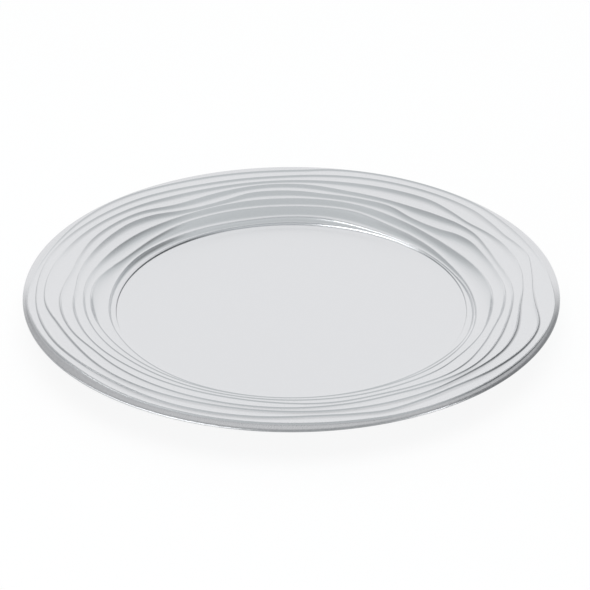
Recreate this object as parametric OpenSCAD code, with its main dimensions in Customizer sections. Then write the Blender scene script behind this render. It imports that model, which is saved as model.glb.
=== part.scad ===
// Charger plate: a round one-piece moulding with a flat well and a broad rim of wavy ridges.
// Origin on the table under the centre, +Z up, millimetres.

/* [Plate] */
// Overall diameter
plate_d = 330; // [300:1:360]

/* [Well] */
// Diameter of the flat floor
well_d = 216.5; // [190:0.5:230]
// Thickness of the floor
floor_t = 2.8; // [2.2:0.1:4]
// Height of the crisp step round the floor
step_h = 0.8; // [0.4:0.1:1.5]
// Width of that step, which leans outwards
step_w = 0.3; // [0.1:0.1:0.5]
// Hollow of the climb from the step to the first ridge, 1 is straight
wall_bow = 2.2; // [1:0.1:3]

/* [Foot] */
// Outside diameter of the foot ring
foot_d = 204; // [150:1:210]
// Width of the foot ring
foot_w = 3; // [2:0.5:6]
// Height of the foot ring, table to underside of the floor
foot_h = 2.2; // [1:0.1:4]

/* [Rim] */
// Height of the ridge tops above the floor, at the well
rim_start = 2.4; // [1.5:0.1:4]
// Their further rise from the well to the lip
rim_rise = 14.2; // [8:0.1:18]
// How much of that rise lies near the well, 1 is an even slope
rim_dome = 2.7; // [1.5:0.1:3.5]
// Depth of material under the ridge tops, at the well
root_t = 4.4; // [3.5:0.1:6]

/* [Ridges] */
// Fall on the outer side of a ridge, near the lip
ridge_fall = 0.9; // [0.5:0.1:1.2]
// The same near the well, where the ridges are lower
inner_fall = 0.4; // [0.2:0.1:0.8]
// Run of a fall
ridge_run = 0.7; // [0.5:0.1:2]
// Hollow of the tread that climbs to the next ridge, 1 is straight
tread_bow = 2.4; // [1:0.1:3]
// Width of the steeper flank with which it ends, under the next ridge
flank_w = 1.5; // [1:0.1:3]

/* [Lip] */
// Width of the plain lip outside the ridges
lip_w = 1.5; // [1.3:0.1:3]
// Thickness of the lip, which is a full round at the edge
lip_t = 1.2; // [1:0.1:2.4]
// Drop of the lip's top below the line of the ridge tops
lip_drop = 1; // [0.2:0.1:1.5]
// Roundness of the bevel from the foot of the last ridge to the lip, 1 is straight
bevel_bow = 1.3; // [1:0.1:2.5]

/* [Hidden] */
$fn = 120;

well_r = well_d / 2;
lip_r = plate_d / 2 - lip_w;
rim_w = lip_r - well_r;
floor_z = foot_h + floor_t;

// Clearance that keeps the flat-sided rim out of the round lip
seam = 0.1;
// Sections round the rim, and the shares of a stretch at which each is drawn
sections = 150;
climb = [0.5, 0.8, 1];
// Shares of a stretch at which the underside is drawn, outside to inside
under_wall = [1, 0.6, 0.25];
under_rim = [1, 0.65, 0.4, 0.2, 0.06, 0];
// Most of a narrow gap that a ridge's fall may take, and the gap from which a fall is full
fall_share = 0.35;
full_gap = 4 * ridge_run;

// Ridge lines from the well to the lip, drawn by eye: [angle, percent of the way across the rim].
// Angle 0 is +X and 90 is +Y.
ridge_lines = [
    [[0, 7], [20, 2.5], [45, 2], [60, 3], [70, 5], [80, 7], [92, 7], [105, 6], [120, 7],
     [135, 8.5], [150, 9.5], [165, 8.5], [180, 8], [192, 8], [205, 6], [220, 4.5], [265, 3.5],
     [300, 5], [320, 9], [332, 11], [348, 9.5]],
    [[0, 9], [12, 7], [25, 6.5], [38, 9], [48, 11.5], [56, 13.5], [63, 17], [70, 20.5], [78, 21],
     [90, 20.5], [112, 20.5], [128, 20], [138, 18], [148, 16.5], [156, 17.5], [163, 21],
     [170, 25.5], [176, 27.5], [183, 28], [192, 27], [202, 23.5], [215, 19.5], [230, 15.5],
     [245, 13], [270, 11], [295, 13.5], [312, 17], [325, 16.5], [340, 14]],
    [[0, 28.5], [10, 26], [20, 23], [30, 20.5], [40, 20.5], [48, 22.5], [58, 26], [66, 29.5],
     [75, 32], [90, 32.5], [105, 32], [118, 30.5], [130, 30], [142, 31.5], [160, 33], [175, 35.5],
     [190, 35.5], [200, 34], [212, 31.5], [222, 28.5], [235, 27.5], [255, 28], [270, 30],
     [285, 31.5], [300, 31], [313, 32], [322, 29], [340, 28.5]],
    [[0, 42.5], [10, 40], [20, 40], [28, 41], [34, 38.5], [40, 33], [46, 31], [52, 32.5],
     [60, 39.5], [70, 41], [80, 42], [88, 45], [95, 46], [102, 45], [110, 38.5], [118, 36],
     [125, 38.5], [133, 46], [140, 49.5], [147, 49.5], [160, 48], [172, 46.5], [180, 45],
     [190, 47.5], [200, 47.5], [212, 45.5], [225, 41.5], [240, 39], [253, 38], [263, 40.5],
     [275, 45.5], [281, 46.5], [292, 44], [301, 47], [311, 51], [318, 49.5], [328, 43],
     [339, 39], [350, 41.5]],
    [[0, 50.5], [14, 46.5], [22, 48.5], [30, 52.5], [37, 52.5], [45, 50], [54, 48], [65, 49],
     [75, 51.5], [84, 56.5], [92, 58.5], [100, 57.5], [110, 53.5], [120, 49.5], [126, 50.5],
     [135, 58.5], [145, 61], [155, 60.5], [163, 57], [170, 54.5], [176, 56], [185, 60.5],
     [193, 62], [203, 60], [213, 54.5], [222, 54.5], [250, 55.5], [270, 56.5], [285, 54.5],
     [295, 53], [303, 56], [315, 60.5], [323, 59], [333, 54], [343, 50.5]],
    [[0, 62.5], [7, 65.5], [20, 67.5], [28, 65], [36, 61.5], [43, 65], [51, 70], [60, 70],
     [75, 68], [95, 65.5], [110, 64.5], [122, 66], [135, 71], [150, 74.5], [170, 77], [183, 78],
     [190, 77], [199, 70.5], [209, 68], [225, 69.5], [238, 68], [253, 65], [268, 65.5],
     [285, 68], [300, 68.5], [313, 67], [327, 69.5], [335, 67], [345, 61], [351, 59.5]],
    [[0, 73], [7, 77], [15, 83], [20, 81], [25, 78.5], [32, 81], [40, 85], [60, 85.5], [72, 84],
     [82, 80.5], [92, 76.5], [103, 75.5], [113, 76], [123, 79.5], [132, 83], [150, 86],
     [163, 88], [180, 87], [195, 87.5], [206, 86], [217, 82], [228, 80], [245, 81.5],
     [262, 79.5], [275, 76.5], [284, 80], [290, 83], [299, 79.5], [308, 77.5], [320, 83],
     [333, 87.5], [341, 86], [350, 75.5], [355, 72.5]],
    [[0, 94], [10, 93], [20, 92.5], [30, 94], [40, 97.5], [50, 98.5], [72, 98.5], [80, 96.5],
     [87, 91.5], [95, 90], [110, 91], [120, 93], [130, 97], [138, 98], [148, 95.5], [160, 92.5],
     [170, 93], [180, 95], [190, 97], [200, 95.5], [210, 93.5], [220, 91.5], [235, 92.5],
     [250, 91.5], [270, 91], [283, 93], [292, 95.5], [320, 95.5], [340, 97.5], [350, 97]]
];

// Point i of a closed ridge line, which goes on round after its last point
function turn_point(line, i) =
    let (n = len(line), lap = floor(i / n))
    [line[i - lap * n][0] + 360 * lap, line[i - lap * n][1]];

// Percent across the rim of a ridge line at an angle: a smooth curve through its points
function ridge_percent(line, angle) =
    let (
        i = max([for (k = [0 : len(line) - 1]) if (line[k][0] <= angle) k]),
        before = turn_point(line, i - 1),
        from = turn_point(line, i),
        to = turn_point(line, i + 1),
        after = turn_point(line, i + 2),
        span = to[0] - from[0],
        lean_from = span * (to[1] - before[1]) / (to[0] - before[0]),
        lean_to = span * (after[1] - from[1]) / (after[0] - from[0]),
        t = (angle - from[0]) / span
    )
    from[1] * (2 * pow(t, 3) - 3 * pow(t, 2) + 1) + lean_from * (pow(t, 3) - 2 * pow(t, 2) + t)
    + to[1] * (3 * pow(t, 2) - 2 * pow(t, 3)) + lean_to * (pow(t, 3) - pow(t, 2));

// Height of the line of the ridge tops at a radius: a dome that climbs from the well and flattens
// towards the lip
function top_z(r) =
    floor_z + rim_start + rim_rise * (1 - pow(max(0, (lip_r - r) / rim_w), rim_dome));

// Height of the underside at a radius: it follows the ridge tops and thins towards the lip
function under_z(r) =
    max(foot_h, top_z(r) - root_t - (lip_drop + lip_t - root_t) * (r - well_r) / rim_w);

lip_z = top_z(lip_r) - lip_drop;

// Top of ridge line k at an angle, as [radius, height]
function ridge_top(k, angle) =
    let (r = well_r + rim_w * ridge_percent(ridge_lines[k], angle) / 100)
    [r, top_z(r)];

// A bowed stretch from one point of the section to another, gentle first and steeper at its end
function bowed(from, to, bow) =
    [for (u = climb) [from.x + (to.x - from.x) * u, from.y + (to.y - from.y) * pow(u, bow)]];

// Foot of the short fall from the top of a ridge, on the way to the next point
function fall_foot(from, to) =
    let (
        gap = to.x - from.x,
        fall = inner_fall + (ridge_fall - inner_fall) * (from.x - well_r) / rim_w
    )
    [from.x + min(ridge_run, fall_share * gap), from.y - fall * min(1, gap / full_gap)];

// From the top of a ridge: its short fall, then the tread, which climbs with the rim and ends in the flank
// of the next ridge
function tread(from, to) =
    let (
        foot = fall_foot(from, to),
        flank = max(1, (to.x - from.x) / flank_w)
    )
    concat([foot], [
        for (u = climb)
            [foot.x + (to.x - foot.x) * u,
             foot.y + (to.y - from.y) * pow(u, tread_bow) + (from.y - foot.y) * pow(u, flank)]
    ]);

// The underside between two radii
function underside(inner, outer, shares) =
    [for (u = shares) let (r = inner + (outer - inner) * u) [r, under_z(r)]];

// Section of the well wall: step, climb to ridge 0, tread to ridge 1, and back underneath.
// Its inner corners stand just off the round edge of the floor, which its flats then touch.
function wall_section(angle) =
    let (
        seat_r = well_r / cos(180 / sections),
        step = [well_r + step_w, floor_z + step_h],
        first = ridge_top(0, angle),
        last = ridge_top(1, angle)
    )
    concat([[seat_r, floor_z], step], bowed(step, first, wall_bow), tread(first, last),
           underside(well_r, last.x, under_wall), [[seat_r, foot_h]]);

// Section of the rim: the treads from ridge 1 to the last ridge, its fall and bevel to the lip, and back
// underneath
function rim_section(angle) =
    let (
        last = len(ridge_lines) - 1,
        seat = [lip_r - seam, lip_z],
        tops = [for (k = [1 : last]) ridge_top(k, angle)],
        foot = fall_foot(tops[last - 1], seat)
    )
    concat([tops[0]], [for (k = [1 : last - 1]) each tread(tops[k - 1], tops[k])],
           [foot], bowed(foot, seat, bevel_bow),
           underside(tops[0].x, seat.x, under_rim));

// A closed ring through sections that stand round the axis, each a list of [radius, height] that runs
// outwards along the top and back below
module ring_loft(rings) {
    n = len(rings);
    m = len(rings[0]);
    corners = [
        for (i = [0 : n - 1], p = rings[i])
            [p.x * cos(i * 360 / n), p.x * sin(i * 360 / n), p.y]
    ];
    skin = [
        for (i = [0 : n - 1], j = [0 : m - 1])
            let (
                here = i * m,
                next = (i + 1) % n * m,
                up = (j + 1) % m
            )
            each [[here + j, next + up, here + up], [here + j, next + j, next + up]]
    ];
    polyhedron(points = corners, faces = skin);
}

module well_floor() {
    color("gainsboro")
        translate([0, 0, foot_h])
            cylinder(h = floor_t, r = well_r);
}

module well_wall() {
    color("silver")
        ring_loft([for (i = [0 : sections - 1]) wall_section(i * 360 / sections)]);
}

module wave_rim() {
    color("lightgray")
        ring_loft([for (i = [0 : sections - 1]) rim_section(i * 360 / sections)]);
}

module lip() {
    color("silver")
        rotate_extrude()
            translate([0, lip_z - lip_t]) {
                translate([lip_r, 0])
                    square([lip_w - lip_t / 2, lip_t]);
                intersection() {
                    translate([plate_d / 2 - lip_t / 2, lip_t / 2])
                        circle(d = lip_t);
                    translate([lip_r, 0])
                        square([lip_w, lip_t]);
                }
            }
}

// The ring reaches up to the underside wherever it stands
module foot_ring() {
    outer_r = foot_d / 2;
    inner_r = outer_r - foot_w;
    color("darkgray")
        rotate_extrude()
            polygon([
                [inner_r, 0], [outer_r, 0],
                [outer_r, under_z(outer_r)], [inner_r, under_z(inner_r)]
            ]);
}

well_floor();
well_wall();
wave_rim();
lip();
foot_ring();
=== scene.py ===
import math

import bmesh
import bpy
import numpy as np
from mathutils import Matrix, Vector


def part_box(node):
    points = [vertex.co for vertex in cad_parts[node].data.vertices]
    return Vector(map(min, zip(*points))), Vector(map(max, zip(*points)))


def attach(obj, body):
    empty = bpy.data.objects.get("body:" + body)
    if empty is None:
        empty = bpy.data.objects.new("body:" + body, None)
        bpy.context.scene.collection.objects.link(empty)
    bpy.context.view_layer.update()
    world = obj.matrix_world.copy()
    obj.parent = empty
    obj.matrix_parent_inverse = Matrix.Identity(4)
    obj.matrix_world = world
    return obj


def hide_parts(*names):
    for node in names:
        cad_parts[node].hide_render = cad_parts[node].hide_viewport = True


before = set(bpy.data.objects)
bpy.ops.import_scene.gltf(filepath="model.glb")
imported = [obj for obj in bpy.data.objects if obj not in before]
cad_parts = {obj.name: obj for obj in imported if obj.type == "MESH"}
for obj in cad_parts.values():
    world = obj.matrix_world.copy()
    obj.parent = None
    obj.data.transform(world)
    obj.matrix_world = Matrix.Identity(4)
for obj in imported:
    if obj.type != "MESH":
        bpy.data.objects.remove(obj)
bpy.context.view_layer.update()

# Well floor
# The flat round floor of the plate, injection-moulded in one with the rest and sprayed with silver lacquer.
# It is turned here as a disc that curves up a little in a cove towards the foot of the well wall.
floor_low, floor_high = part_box("well_floor")
well_r = floor_high.x
floor_z = floor_high.z
under_floor_z = floor_low.z
steps_round = 480
angles = np.arange(steps_round) * 2 * math.pi / steps_round
sharp_angle = math.radians(40)


class Wire:
    """A node socket that takes part in sums. Each operator adds a Math node to the socket's tree."""

    def __init__(self, tree, socket=None):
        self.tree = tree
        self.socket = socket

    def node(self, kind, settings=None, inputs=None, output=0):
        """Adds a node: its settings first, then the values or links of its sockets. Returns one output."""
        made = self.tree.nodes.new(kind)
        for name, value in (settings or {}).items():
            setattr(made, name, value)
        for name, value in (inputs or {}).items():
            if isinstance(value, Wire):
                self.tree.links.new(value.socket, made.inputs[name])
            else:
                made.inputs[name].default_value = value
        return Wire(self.tree, made.outputs[output] if made.outputs else None)

    def maths(self, operation, *values):
        return self.node("ShaderNodeMath", {"operation": operation}, dict(enumerate(values)))

    def __add__(self, other):
        return self.maths("ADD", self, other)

    def __radd__(self, other):
        return self.maths("ADD", other, self)

    def __sub__(self, other):
        return self.maths("SUBTRACT", self, other)

    def __rsub__(self, other):
        return self.maths("SUBTRACT", other, self)

    def __mul__(self, other):
        return self.maths("MULTIPLY", self, other)

    def __rmul__(self, other):
        return self.maths("MULTIPLY", other, self)

    def __truediv__(self, other):
        return self.maths("DIVIDE", self, other)

    def __rtruediv__(self, other):
        return self.maths("DIVIDE", other, self)

    def __pow__(self, other):
        return self.maths("POWER", self, other)

    def __rpow__(self, other):
        return self.maths("POWER", other, self)


def silver_lacquer():
    """Satin silver lacquer: fine flakes in a clear binder. It carries painted shade: where its shade
    attribute nears 1, the colour is painted darker and grainy with the flakes, and the surface is rougher.
    """
    flake_size = 0.0005
    peel_size = 0.003
    drift_size = 0.06
    dark_flake = (0.728, 0.736, 0.752, 1)
    pale_flake = (0.762, 0.768, 0.784, 1)
    # Dark grey of the painted shade, mixed into the lacquer's colour where it is shaded.
    painted_shade_grey = (0.20, 0.205, 0.215, 1)
    material = bpy.data.materials.new("silver_lacquer")
    material.use_nodes = True
    tree = material.node_tree
    tree.nodes.clear()
    start = Wire(tree)
    place = start.node("ShaderNodeTexCoord", output="Object")
    painted_shade = start.node("ShaderNodeAttribute", {"attribute_name": "painted_shade"}, output="Fac")
    flake = start.node("ShaderNodeTexVoronoi", {"feature": "F1"},
                       {"Vector": place, "Scale": 1 / flake_size}, output="Color")
    flake_tone = start.node("ShaderNodeSeparateColor", {}, {"Color": flake})
    peel = start.node("ShaderNodeTexNoise", {}, {"Vector": place, "Scale": 1 / peel_size, "Detail": 2.0})
    drift = start.node("ShaderNodeTexNoise", {}, {"Vector": place, "Scale": 1 / drift_size, "Detail": 3.0})
    body = start.node("ShaderNodeMix", {"data_type": "RGBA"}, {
        "Factor": 0.75 * flake_tone + 0.25 * drift, 6: dark_flake, 7: pale_flake}, output=2)
    # Painted shade: the colour darkens towards that grey, grainy with the flakes, where the shade attribute
    # is high.
    colour = start.node("ShaderNodeMix", {"data_type": "RGBA"}, {
        "Factor": painted_shade * (0.85 + 0.3 * flake_tone), 6: body, 7: painted_shade_grey}, output=2)
    skin = start.node("ShaderNodeBump", {}, {
        "Strength": 0.12, "Distance": 0.00003, "Height": peel + 0.2 * flake_tone})
    shader = start.node("ShaderNodeBsdfPrincipled", {}, {
        "Base Color": colour,
        "Metallic": 1.0,
        "Roughness": 0.20 + 0.02 * flake_tone + 0.04 * drift + 0.10 * painted_shade,
        "Normal": skin,
        "Coat Weight": 0.15,
        "Coat Roughness": 0.2,
    })
    start.node("ShaderNodeOutputMaterial", {}, {"Surface": shader})
    return material


lacquer = silver_lacquer()


def ring_mesh(name, rows, closed=True):
    """A mesh through rows of points round the axis, each row an array of [x, y, z] over the angles."""
    rows = np.asarray(rows)
    count = len(rows)
    corner = np.arange(count * steps_round).reshape(count, steps_round)
    inner = corner if closed else corner[:-1]
    outer = np.roll(corner, -1, axis=0) if closed else corner[1:]
    faces = np.stack([inner, outer, np.roll(outer, -1, axis=1), np.roll(inner, -1, axis=1)], axis=-1)
    mesh = bpy.data.meshes.new(name)
    mesh.from_pydata(rows.reshape(-1, 3).tolist(), [], faces.reshape(-1, 4).tolist())
    return mesh


def around(radius, height):
    """A row of points at a radius and height, each one number or one for each angle."""
    flat = np.ones(steps_round)
    return np.stack([radius * np.cos(angles), radius * np.sin(angles), height * flat], axis=-1)


def turned(name, outline, closed=True):
    """A piece turned about the axis from an outline of [radius, height], out on top and back below."""
    mesh = ring_mesh(name, [around(r, z) for r, z in outline], closed)
    work = bmesh.new()
    work.from_mesh(mesh)
    bmesh.ops.remove_doubles(work, verts=work.verts, dist=1e-7)
    for face in work.faces:
        face.smooth = True
    for edge in work.edges:
        edge.smooth = edge.calc_face_angle(0) < sharp_angle
    work.to_mesh(mesh)
    work.free()
    mesh.materials.append(lacquer)
    piece = bpy.data.objects.new(name, mesh)
    bpy.context.scene.collection.objects.link(piece)
    return piece


def fix(piece, *nodes):
    """The piece stands for these nodes of the moulding: it hangs under the root body, and the nodes are
    hidden.
    """
    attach(piece, "root")
    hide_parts(*nodes)


cove_w = 0.006
cove_h = 0.0004
cove_rows = np.linspace(0, 1, 9)
cove = [(well_r - cove_w * (1 - u), floor_z + cove_h * u * u) for u in cove_rows]
floor_piece = turned("well_floor_skin", [
    (0, floor_z), (well_r / 2, floor_z), *cove,
    (well_r, under_floor_z), (well_r / 2, under_floor_z), (0, under_floor_z)], closed=False)
fix(floor_piece, "well_floor")

# Well wall
# The wall from the floor up to the rim, with a small crisp step at its foot, a low ridge and one tread.
# Moulded with the floor. Its section follows the ridge lines, which wander in and out round the plate.
step_h = 0.0008
step_w = 0.0003
wall_bow = 4.5
rim_start = 0.0024
rim_rise = 0.0142
rim_dome = 2.7
inner_sink = 0.0012
root_t = 0.0068
ridge_fall = 0.0009
inner_fall = 0.0003
ridge_run = 0.0007
inner_run = 0.0004
tread_bow = 3.0
side_ease = 0.45
near_bow = 9.0
flank_w = 0.0009
inner_flank_w = 0.0015
crest_round = 0.00015
fall_share = 0.35
full_gap = 4 * ridge_run
lip_low, lip_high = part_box("lip")
plate_r = lip_high.x
lip_w = 0.0015
lip_r = plate_r - lip_w
lip_z = lip_high.z
lip_t = lip_high.z - lip_low.z
lip_drop = floor_z + rim_start + rim_rise - lip_z
rim_w = lip_r - well_r

# Ridge lines from the well to the lip: angle in degrees, percent of the way across the rim
ridge_lines = [
    [(0, 7), (20, 2.5), (45, 2), (60, 3), (70, 5), (80, 7), (92, 7), (105, 6), (120, 7),
     (135, 8.5), (150, 9.5), (165, 8.5), (180, 8), (192, 8), (205, 6), (220, 4.5), (265, 3.5),
     (300, 5), (320, 9), (332, 11), (348, 9.5)],
    [(0, 9), (12, 7), (25, 6.5), (38, 9), (48, 11.5), (56, 13.5), (63, 17), (70, 20.5), (78, 21),
     (90, 20.5), (112, 20.5), (128, 20), (138, 18), (148, 16.5), (156, 17.5), (163, 21),
     (170, 25.5), (176, 27.5), (183, 28), (192, 27), (202, 23.5), (215, 19.5), (230, 15.5),
     (245, 13), (270, 11), (295, 13.5), (312, 17), (325, 16.5), (340, 14)],
    [(0, 28.5), (10, 26), (20, 23), (30, 20.5), (40, 20.5), (48, 22.5), (58, 26), (66, 29.5),
     (75, 32), (90, 32.5), (105, 32), (118, 30.5), (130, 30), (142, 31.5), (160, 33), (175, 35.5),
     (190, 35.5), (200, 34), (212, 31.5), (222, 28.5), (235, 27.5), (255, 28), (270, 30),
     (285, 31.5), (300, 31), (313, 32), (322, 29), (340, 28.5)],
    [(0, 42.5), (10, 40), (20, 40), (28, 41), (34, 38.5), (40, 33), (46, 31), (52, 32.5),
     (60, 39.5), (70, 41), (80, 42), (88, 45), (95, 46), (102, 45), (110, 38.5), (118, 36),
     (125, 38.5), (133, 46), (140, 49.5), (147, 49.5), (160, 48), (172, 46.5), (180, 45),
     (190, 47.5), (200, 47.5), (212, 45.5), (225, 41.5), (240, 39), (253, 38), (263, 40.5),
     (275, 45.5), (281, 46.5), (292, 44), (301, 47), (311, 51), (318, 49.5), (328, 43),
     (339, 39), (350, 41.5)],
    [(0, 50.5), (14, 46.5), (22, 48.5), (30, 52.5), (37, 52.5), (45, 50), (54, 48), (65, 49),
     (75, 51.5), (84, 56.5), (92, 58.5), (100, 57.5), (110, 53.5), (120, 49.5), (126, 50.5),
     (135, 58.5), (145, 61), (155, 60.5), (163, 57), (170, 54.5), (176, 56), (185, 60.5),
     (193, 62), (203, 60), (213, 54.5), (222, 54.5), (250, 55.5), (270, 56.5), (285, 54.5),
     (295, 53), (303, 56), (315, 60.5), (323, 59), (333, 54), (343, 50.5)],
    [(0, 62.5), (7, 65.5), (20, 67.5), (28, 65), (36, 61.5), (43, 65), (51, 70), (60, 70),
     (75, 68), (95, 65.5), (110, 64.5), (122, 66), (135, 71), (150, 74.5), (170, 77), (183, 78),
     (190, 77), (199, 70.5), (209, 68), (225, 69.5), (238, 68), (253, 65), (268, 65.5),
     (285, 68), (300, 68.5), (313, 67), (327, 69.5), (335, 67), (345, 61), (351, 59.5)],
    [(0, 73), (7, 77), (15, 83), (20, 81), (25, 78.5), (32, 81), (40, 85), (60, 85.5), (72, 84),
     (82, 80.5), (92, 76.5), (103, 75.5), (113, 76), (123, 79.5), (132, 83), (150, 86),
     (163, 88), (180, 87), (195, 87.5), (206, 86), (217, 82), (228, 80), (245, 81.5),
     (262, 79.5), (275, 76.5), (284, 80), (290, 83), (299, 79.5), (308, 77.5), (320, 83),
     (333, 87.5), (341, 86), (350, 75.5), (355, 72.5)],
    [(0, 94), (10, 93), (20, 92.5), (30, 94), (40, 97.5), (50, 98.5), (72, 98.5), (80, 96.5),
     (87, 91.5), (95, 90), (110, 91), (120, 93), (130, 97), (138, 98), (148, 95.5), (160, 92.5),
     (170, 93), (180, 95), (190, 97), (200, 95.5), (210, 93.5), (220, 91.5), (235, 92.5),
     (250, 91.5), (270, 91), (283, 93), (292, 95.5), (320, 95.5), (340, 97.5), (350, 97)],
]


def ridge_radius(line):
    """Radius of a ridge line at every angle: a smooth closed curve through its points."""
    laps = [(a + lap, p) for lap in (0, 360, 720) for a, p in line]
    turn, across = np.array(laps).T
    lean = np.gradient(across)
    lean[1:-1] = (across[2:] - across[:-2]) / (turn[2:] - turn[:-2])
    wanted = np.degrees(angles) + 360
    i = np.searchsorted(turn, wanted, side="right") - 1
    span = turn[i + 1] - turn[i]
    t = (wanted - turn[i]) / span
    percent = (across[i] * (2 * t**3 - 3 * t**2 + 1) + lean[i] * span * (t**3 - 2 * t**2 + t)
               + across[i + 1] * (3 * t**2 - 2 * t**3) + lean[i + 1] * span * (t**3 - t**2))
    return well_r + rim_w * percent / 100


def share(r):
    """How far across the rim a radius is, from the well to the lip."""
    return (r - well_r) / rim_w


def dome_z(r):
    """Height of the rim's dome at a radius, from the well up to the lip."""
    left = np.clip((lip_r - r) / rim_w, 0, 1)
    return floor_z + rim_start + rim_rise * (1 - left**rim_dome)


def top_z(r):
    """Height of the line of the ridge tops at a radius: they lie a little below the dome near the well."""
    return dome_z(r) - inner_sink * np.clip((lip_r - r) / rim_w, 0, 1)


def under_z(r):
    """Height of the underside at a radius: it follows the dome and thins towards the lip."""
    depth = root_t + (lip_drop + lip_t - root_t) * share(r)
    return np.maximum(under_floor_z, dome_z(r) - depth)


def wave_tree():
    """Geometry nodes that lay rows of points on the treads.

    A tread falls shortly from one ridge and climbs in a hollow to the next, with a rounded crest.
    The attribute bow is the exponent of the hollow, and near blends it into a deeper one.
    """
    tree = bpy.data.node_groups.new("wavy_treads", "GeometryNodeTree")
    tree.interface.new_socket(name="Geometry", in_out="INPUT", socket_type="NodeSocketGeometry")
    for name in ("Inner run", "Outer run", "Fall share", "Full gap", "Near bow",
                 "Inner flank", "Outer flank", "Crest round"):
        tree.interface.new_socket(name=name, in_out="INPUT", socket_type="NodeSocketFloat")
    tree.interface.new_socket(name="Finish", in_out="INPUT", socket_type="NodeSocketMaterial")
    tree.interface.new_socket(name="Geometry", in_out="OUTPUT", socket_type="NodeSocketGeometry")
    start = Wire(tree)
    given = tree.nodes.new("NodeGroupInput")

    def value(name):
        return Wire(tree, given.outputs[name])

    def stored(name):
        return start.node("GeometryNodeInputNamedAttribute", {"data_type": "FLOAT"}, {"Name": name},
                          output="Attribute")

    turn, from_r, from_z, to_r, to_z = (stored(k) for k in ("turn", "from_r", "from_z", "to_r", "to_z"))
    depth, across, bow, near = (stored(k) for k in ("depth", "across", "bow", "near"))
    fallen, climbed = (stored(k) for k in ("fallen", "climbed"))
    gap = to_r - from_r
    full_run = value("Inner run") + (value("Outer run") - value("Inner run")) * across
    flank_width = value("Inner flank") + (value("Outer flank") - value("Inner flank")) * across
    falling = start.maths("GREATER_THAN", depth, 0)
    run = start.maths("MINIMUM", full_run, value("Fall share") * gap) * falling
    flank = start.maths("MAXIMUM", 1, gap / flank_width)
    fall = depth * start.maths("MINIMUM", gap / value("Full gap"), 1)
    rise = to_z - from_z
    hollow = climbed ** bow + (climbed ** value("Near bow") - climbed ** bow) * near
    climb = rise * hollow + (fall + value("Crest round")) * climbed ** flank
    rounded = start.maths("SMOOTH_MIN", climb, rise + fall, value("Crest round"))
    radius = from_r + run * fallen + (gap - run) * climbed
    height = from_z - fall * fallen * fallen * (3 - 2 * fallen) + rounded
    spot = start.node("ShaderNodeCombineXYZ", {}, {
        "X": radius * start.maths("COSINE", turn), "Y": radius * start.maths("SINE", turn), "Z": height})
    placed = start.node("GeometryNodeSetPosition", {}, {
        "Geometry": value("Geometry"), "Selection": stored("on_tread"), "Position": spot})
    smooth = start.node("GeometryNodeSetShadeSmooth", {"domain": "FACE"}, {"Geometry": placed})
    bend = start.node("GeometryNodeInputMeshEdgeAngle", output="Unsigned Angle")
    creased = start.node("GeometryNodeSetShadeSmooth", {"domain": "EDGE"}, {
        "Geometry": smooth, "Shade Smooth": start.maths("LESS_THAN", bend, sharp_angle)})
    real = start.node("GeometryNodeRealizeInstances", {}, {"Geometry": creased})
    coated = start.node("GeometryNodeSetMaterial", {}, {"Geometry": real, "Material": value("Finish")})
    start.node("NodeGroupOutput", {}, {"Geometry": coated})
    return tree


treads = wave_tree()
crest_crowding = 1.6
fall_rows = np.linspace(0, 1, 7)[1:]
climb_rows = 1 - (1 - np.linspace(0, 1, 15)[1:]) ** crest_crowding


def ramp(value, start, end):
    """0 at a start and before it, with a straight rise to 1 at an end."""
    return np.clip((value - start) / (end - start), 0, 1)


def patch(turn, middle, full, none):
    """1 within so many degrees of a direction round the plate, falling smoothly to 0 further off."""
    away = np.degrees(np.arccos(np.cos(turn - math.radians(middle))))
    near = ramp(away, none, full)
    return near * near * (3 - 2 * near)


def point(r, z, painted_shade=0):
    """A row of a section that stands where it is given."""
    return [dict(at=around(r, z), painted_shade=painted_shade)]


def fall_depth(r):
    """Full depth of the fall from a ridge at a radius."""
    return inner_fall + (ridge_fall - inner_fall) * share(r)


def fall_run(r):
    """Full width of the fall from a ridge at a radius."""
    return inner_run + (ridge_run - inner_run) * share(r)


# Amounts of painted shade round the plate, one patch for each part that is shaded darker.
right_front_painted_shade = 0.68 * patch(angles, 332, 6, 30)
left_front_painted_shade = 0.18 * patch(angles, 208, 15, 40)
near_middle_painted_shade = 0.32 * patch(angles, 272, 35, 60)
far_left_painted_shade = 0.5 * patch(angles, 143, 8, 26)
far_right_painted_shade = 0.4 * patch(angles, 42, 10, 32)


def fall_painted_shade(r):
    """Painted shade in a fall, a darker line in the crease: most on the outer ridges at the right front."""
    outer = ramp(share(r), 0.35, 0.65)
    return 0.10 * share(r) + outer * (right_front_painted_shade + left_front_painted_shade)


def foot_painted_shade(r):
    """Painted shade at the foot of a fall, a soft dark tail: only on the outer ridges of the near side."""
    return ramp(share(r), 0.52, 0.62) * near_middle_painted_shade


def flank_painted_shade(r):
    """Painted shade under a crest: only in the two far quarters, and not next to the well."""
    left = ramp(share(r), 0.2, 0.35) * far_left_painted_shade
    right = ramp(share(r), 0.3, 0.5) * far_right_painted_shade
    return (1.2 - share(r)) * (left + right)


# Width of the painted shade at the foot of a fall.
foot_painted_shade_w = 0.003
tread_bows = tread_bow * (1 - side_ease * np.cos(angles)**2)
near_half = patch(angles, 270, 70, 90)
near_wall = patch(angles, 270, 95, 125)


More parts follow.
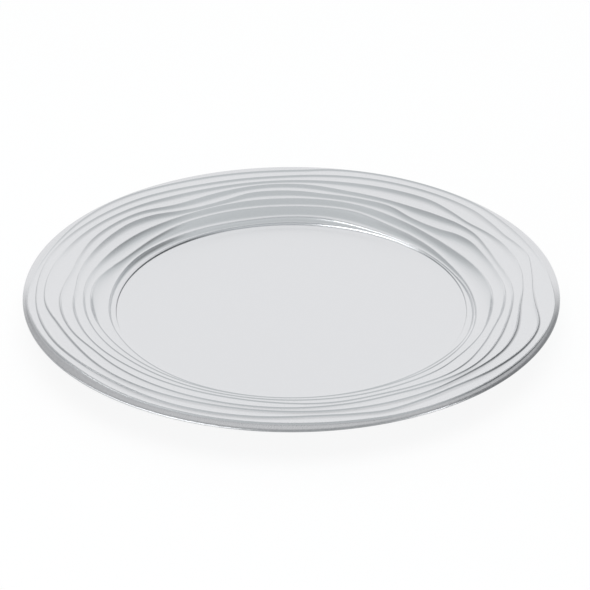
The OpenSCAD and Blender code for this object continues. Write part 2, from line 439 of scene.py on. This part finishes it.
def tread(inner, outer):
    """Rows from one ridge top to the next, each a radius and a height: down the fall and up the hollow."""
    ends = dict(at=around(*outer), from_r=inner[0], from_z=inner[1], to_r=outer[0], to_z=outer[1],
                depth=fall_depth(inner[0]), across=share(inner[0]),
                bow=tread_bows, near=near_half, on_tread=1)
    # Painted shade on the tread: in the fall, at the foot of the climb and under the next crest.
    in_fall = fall_painted_shade(inner[0])
    at_foot = foot_painted_shade(inner[0])
    under_crest = flank_painted_shade(outer[0])
    gap = outer[0] - inner[0]
    rows = [dict(ends, fallen=q, climbed=0, painted_shade=in_fall) for q in fall_rows]
    for u in climb_rows:
        painted_shade = at_foot * ramp(gap * u, foot_painted_shade_w, 0) + under_crest * ramp(u, 0.6, 0.85) * (u < 1)
        rows.append(dict(ends, fallen=1, climbed=u, painted_shade=painted_shade))
    return rows


def slope(inner, outer):
    """Rows of a hollow climb without a fall."""
    ends = dict(at=around(*outer), from_r=inner[0], from_z=inner[1], to_r=outer[0], to_z=outer[1],
                bow=wall_bow, near=near_wall, on_tread=1)
    return [dict(ends, climbed=u) for u in climb_rows]


def underside(inner, outer, shares):
    """Rows along the underside between two radii."""
    radii = [inner + (outer - inner) * u for u in shares]
    return [row for r in radii for row in point(r, under_z(r))]


def waved(name, rows):
    """A closed ring through rows of its section, shaped by the geometry nodes and kept as a plain mesh."""
    mesh = ring_mesh(name, [row["at"] for row in rows])
    flat = np.ones(steps_round)
    stored = {"turn": [angles] * len(rows)}
    for key in ("from_r", "from_z", "to_r", "to_z", "depth", "across", "bow", "near", "fallen", "climbed",
                "on_tread", "painted_shade"):
        stored[key] = [row.get(key, 0) * flat for row in rows]
    for key, numbers in stored.items():
        layer = mesh.attributes.new(key, "FLOAT", "POINT")
        layer.data.foreach_set("value", np.concatenate(numbers).astype(np.float32))
    piece = bpy.data.objects.new(name, mesh)
    bpy.context.scene.collection.objects.link(piece)
    shaper = piece.modifiers.new("treads", "NODES")
    shaper.node_group = treads
    sizes = {"Inner run": inner_run, "Outer run": ridge_run, "Fall share": fall_share, "Full gap": full_gap,
             "Near bow": near_bow, "Inner flank": inner_flank_w, "Outer flank": flank_w,
             "Crest round": crest_round, "Finish": lacquer}
    for item in treads.interface.items_tree:
        if item.in_out == "INPUT" and item.name in sizes:
            shaper[item.identifier] = sizes[item.name]
    bpy.context.view_layer.update()
    seen = piece.evaluated_get(bpy.context.evaluated_depsgraph_get())
    plain = bpy.data.meshes.new_from_object(seen)
    piece.modifiers.clear()
    piece.data = plain
    for key in stored:
        if key != "painted_shade":
            plain.attributes.remove(plain.attributes[key])
    return piece


ridges = [(r, top_z(r)) for r in map(ridge_radius, ridge_lines)]
step = (well_r + step_w, floor_z + cove_h + step_h)
# Painted shade: a dark line along the foot of the step, mostly at the far left.
left_step_painted_shade = patch(angles, 155, 25, 45)
right_step_painted_shade = 0.3 * patch(angles, 10, 15, 45)
step_painted_shade = left_step_painted_shade + right_step_painted_shade
wall_piece = waved("well_wall_skin", [
    *point(well_r, floor_z + cove_h, step_painted_shade), *point(*step, 0.6 * step_painted_shade),
    *slope(step, ridges[0]), *tread(ridges[0], ridges[1]),
    *underside(well_r, ridges[1][0], (1, 0.8, 0.6, 0.4, 0.25, 0.12)), *point(well_r, under_floor_z)])
fix(wall_piece, "well_wall")

# Wave rim
# The broad rim with its wandering ridges, like ripples in sand, which bunch and spread round the plate.
# Moulded with the wall. Each tread falls shortly from one ridge and climbs in a hollow to the next, and a
# bevel runs from the last ridge down to the lip.
bevel_bow = 1.3
bevel_rows = np.linspace(0, 1, 9)[1:]
# The least painted shade on the bevel and round the edge.
least_painted_shade = 0.06


def near_side(turn):
    """1 along the near side of the plate, where the edge is painted darker as painted shade."""
    return patch(turn, 270, 73, 93)


# Painted shade on the bevel and in the last fall, darkest on the near side and at the right front.
bevel_painted_shade = least_painted_shade + near_side(angles) * (0.37 + 0.30 * np.cos(angles)**2)
last_fall_painted_shade = (0.20 * near_side(angles) + 0.50 * patch(angles, 330, 8, 40)
                  + 0.10 * patch(angles, 210, 15, 35))
rim_rows = point(*ridges[1])
for inner, outer in zip(ridges[1:], ridges[2:]):
    rim_rows += tread(inner, outer)
last_r, last_z = ridges[-1]
last_gap = lip_r - last_r
last_run = np.minimum(fall_run(last_r), fall_share * last_gap)
last_fall = fall_depth(last_r) * np.minimum(last_gap / full_gap, 1)
for q in fall_rows:
    rim_rows += point(last_r + last_run * q, last_z - last_fall * q * q * (3 - 2 * q), last_fall_painted_shade)
bevel_drop = last_z - last_fall - lip_z
for u in bevel_rows:
    rim_rows += point(last_r + last_run + (last_gap - last_run) * u,
                      last_z - last_fall - bevel_drop * u**bevel_bow, bevel_painted_shade)
rim_rows += underside(ridges[1][0], lip_r, (1, 0.75, 0.5, 0.3, 0.15, 0.08, 0.04, 0))
rim_piece = waved("wave_rim_skin", rim_rows)
fix(rim_piece, "wave_rim")

# Lip
# The thin plain edge outside the ridges, moulded with the rim. Its face leans in towards the top, as a
# mould's draft does, with softened corners. Its near side is painted darker, as painted shade.
edge_draft = math.radians(19)
edge_top_round = 0.0003
edge_low_round = 0.0002
low_centre = (plate_r - edge_low_round, lip_low.z + edge_low_round)
face_rise = lip_z - edge_top_round - low_centre[1]
face_back = (edge_top_round - edge_low_round + math.sin(edge_draft) * face_rise) / math.cos(edge_draft)
top_centre = (low_centre[0] - face_back, lip_z - edge_top_round)


def soft_corner(centre, radius, first, last, points):
    """Points of a round corner from one direction to another."""
    return [(centre[0] + radius * math.cos(a), centre[1] + radius * math.sin(a))
            for a in np.linspace(first, last, points)]


def edge_painted_shade(turn):
    """Painted shade round the edge: darker on the near side and darkest at the right front."""
    return least_painted_shade + near_side(turn) * (0.58 + 0.36 * patch(turn, 328, 10, 35))


lip_outline = [(lip_r, lip_z), *soft_corner(top_centre, edge_top_round, math.pi / 2, edge_draft, 7),
               *soft_corner(low_centre, edge_low_round, edge_draft, -math.pi / 2, 7), (lip_r, lip_low.z)]
lip_piece = turned("lip_skin", lip_outline)
# Painted shade on the lip, stored for each of its points.
lip_turns = np.array([math.atan2(v.co.y, v.co.x) for v in lip_piece.data.vertices])
lip_painted_shade = lip_piece.data.attributes.new("painted_shade", "FLOAT", "POINT")
lip_painted_shade.data.foreach_set("value", edge_painted_shade(lip_turns))
fix(lip_piece, "lip")

# Foot ring
# The low ring under the floor that the plate stands on, moulded with it and softened at its edges.
# It is turned from its section, which reaches up to the underside of the floor.
foot_low, foot_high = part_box("foot_ring")
foot_r = foot_high.x
foot_w = 0.003
foot_soft = 0.0007
outer_centre = (foot_r - foot_soft, foot_low.z + foot_soft)
inner_centre = (foot_r - foot_w + foot_soft, foot_low.z + foot_soft)
foot_outline = [(foot_r - foot_w, foot_high.z), (foot_r, foot_high.z),
                *soft_corner(outer_centre, foot_soft, 0, -math.pi / 2, 6),
                *soft_corner(inner_centre, foot_soft, -math.pi / 2, -math.pi, 6)]
foot_piece = turned("foot_ring_skin", foot_outline)
fix(foot_piece, "foot_ring")

# Floor
# A plain white table, wide enough to fill the picture, which keeps the plate's soft shadow.
# It glows for the camera and in reflections, so that it is seen as white.
table_half = 6.0
table_paint = (0.95, 0.95, 0.95, 1)
glow_share = 0.85
table_mesh = bpy.data.meshes.new("table")
table_mesh.from_pydata([(-table_half, -table_half, 0), (table_half, -table_half, 0),
                        (table_half, table_half, 0), (-table_half, table_half, 0)], [], [(0, 1, 2, 3)])
table = bpy.data.objects.new("table", table_mesh)
bpy.context.scene.collection.objects.link(table)
table_white = bpy.data.materials.new("table_white")
table_white.use_nodes = True
tree = table_white.node_tree
tree.nodes.clear()
start = Wire(tree)
rays = [start.node("ShaderNodeLightPath", output=name)
        for name in ("Is Camera Ray", "Is Glossy Ray", "Is Transmission Ray")]
seen_white = start.maths("MAXIMUM", start.maths("MAXIMUM", rays[0], rays[1]), rays[2])
paint = start.node("ShaderNodeBsdfDiffuse", {}, {"Color": table_paint})
glow = start.node("ShaderNodeEmission", {}, {"Color": (1, 1, 1, 1), "Strength": 1.0})
mixed = start.node("ShaderNodeMixShader", {}, {0: seen_white * glow_share, 1: paint, 2: glow})
start.node("ShaderNodeOutputMaterial", {}, {"Surface": mixed})
table_mesh.materials.append(table_white)

# Light
# A grey tent with a wide white window at the back, darker at the sides and a little darker overhead.
# Two low cards of light stand on the table: a wide one at the left front and a small one at the right
# front. A soft light above is for the table alone.
world = bpy.data.worlds.new("studio")
bpy.context.scene.world = world
world.use_nodes = True
tree = world.node_tree
tree.nodes.clear()
start = Wire(tree)
facing = start.node("ShaderNodeTexCoord", output="Generated")


def lobe(direction, near, full):
    """0 outside a cone of so many degrees about a direction, and 1 inside a narrower one."""
    along = start.node("ShaderNodeVectorMath", {"operation": "DOT_PRODUCT"},
                       {0: facing, 1: Vector(direction).normalized()}, output="Value")
    return start.node("ShaderNodeMapRange", {"interpolation_type": "SMOOTHSTEP"}, {
        "Value": along, "From Min": math.cos(math.radians(near)), "From Max": math.cos(math.radians(full)),
        "To Min": 0.0, "To Max": 1.0})


tent_grey = (0.695, 0.72, 0.728, 1)
window_white = (0.99, 0.99, 0.993, 1)
window = lobe((0, 0.93, 0.40), 55, 14)
dark_right = 1 - 0.60 * lobe((0.97, 0.10, 0.12), 33, 10)
dark_left = 1 - 0.25 * lobe((-0.97, 0.1, 0.15), 45, 15)
dark_above = 1 - 0.07 * lobe((0, -0.45, 0.89), 55, 25)
tent = start.node("ShaderNodeMix", {"data_type": "RGBA"}, {
    "Factor": window, 6: tent_grey, 7: window_white}, output=2)
sky = start.node("ShaderNodeBackground", {}, {
    "Color": tent, "Strength": dark_right * dark_left * dark_above})
start.node("ShaderNodeOutputWorld", {}, {"Surface": sky})


def softbox(name, size, watts, place, towards):
    """A rectangular lamp at a place, facing back along a direction."""
    data = bpy.data.lights.new(name, "AREA")
    data.shape = "RECTANGLE"
    data.size, data.size_y = size
    data.energy = watts
    lamp = bpy.data.objects.new(name, data)
    bpy.context.scene.collection.objects.link(lamp)
    lamp.location = place
    lamp.rotation_mode = "QUATERNION"
    lamp.rotation_quaternion = Vector(towards).to_track_quat("Z", "Y")
    return lamp


cards_far = 1.6
card_side = Vector((-0.819, -0.574, 0.0))
card_height = Vector((0, 0, 0.16))
softbox("card", (2.24, 0.3), 8.4, card_side * cards_far + card_height, card_side)
small_card_side = Vector((0.826, -0.564, 0.0))
small_card_height = Vector((0, 0, 0.045))
softbox("side_card", (0.42, 0.08), 1.4, small_card_side * cards_far + small_card_height, small_card_side)
top_light = softbox("top_light", (2.0, 2.0), 16, (0, 0, 2.0), (0, 0, 1))
top_light.visible_glossy = False

# Camera
# The photograph's own view: the plate's centre on the floor of the well falls on a pixel of it.
photo_px = 590
focal_px = 2093
plate_px = (291.4, 305.9)
camera_far = 1.3
camera_high = math.radians(29.80)
camera_roll = math.radians(0.09)
camera_data = bpy.data.cameras.new("camera")
camera_data.sensor_width = 36
camera_data.lens = camera_data.sensor_width * focal_px / photo_px
camera_data.clip_start = 0.05
camera_data.clip_end = 50
camera = bpy.data.objects.new("camera", camera_data)
bpy.context.scene.collection.objects.link(camera)
bpy.context.scene.camera = camera
back = Vector((0, -math.cos(camera_high), math.sin(camera_high)))
camera.location = Vector((0, 0, floor_z)) + back * camera_far
turn_right = math.atan((photo_px / 2 - plate_px[0]) / focal_px)
turn_up = math.atan((plate_px[1] - photo_px / 2) / focal_px)
look = back.to_track_quat("Z", "Y").to_matrix() @ Matrix.Rotation(-turn_right, 3, "Y")
look = look @ Matrix.Rotation(turn_up, 3, "X") @ Matrix.Rotation(-camera_roll, 3, "Z")
camera.rotation_mode = "QUATERNION"
camera.rotation_quaternion = look.to_quaternion()
bpy.context.scene.view_settings.view_transform = "Standard"
